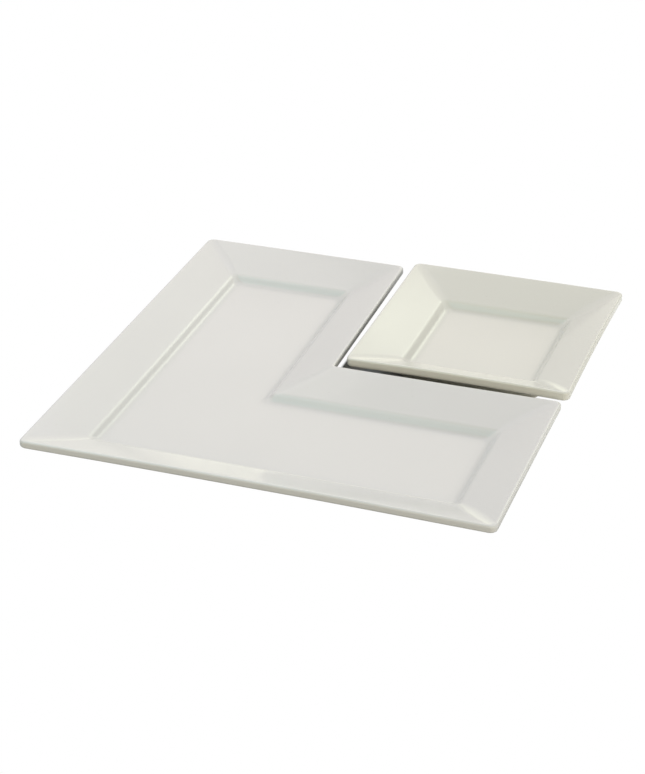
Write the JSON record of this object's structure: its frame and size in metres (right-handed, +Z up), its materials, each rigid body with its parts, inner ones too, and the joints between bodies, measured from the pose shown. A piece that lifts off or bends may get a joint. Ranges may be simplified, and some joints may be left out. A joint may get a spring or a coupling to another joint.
{
  "type": "chip and dip server",
  "caption": "Low L-shaped serving platter with a sloped rim and flat well, and a square dip dish that nests in its open corner and lifts out.",
  "frame": {"origin": "on the table, under the middle of the square that the platter and the nested dish make together", "axes": "+Z up; +X along the platter's front side, towards the free end of its front arm; +Y along its left side, towards the free end of its left arm, so the notch and the dish are at +X +Y"},
  "size_m": [0.332, 0.332, 0.0264],
  "materials": {
    "platter_porcelain": "gloss white glaze, bare foot ring",
    "dish_porcelain": "gloss warm white glaze, bare foot ring"
  },
  "bodies": {
    "platter": {"l_platter": "platter_porcelain"},
    "dish": {"dip_dish": "dish_porcelain"}
  },
  "joints": [
    {"name": "dish_lift", "type": "slide", "parent": "platter", "child": "dish", "axis": [0, 0, 1], "range_m": [0, 0.08]}
  ]
}
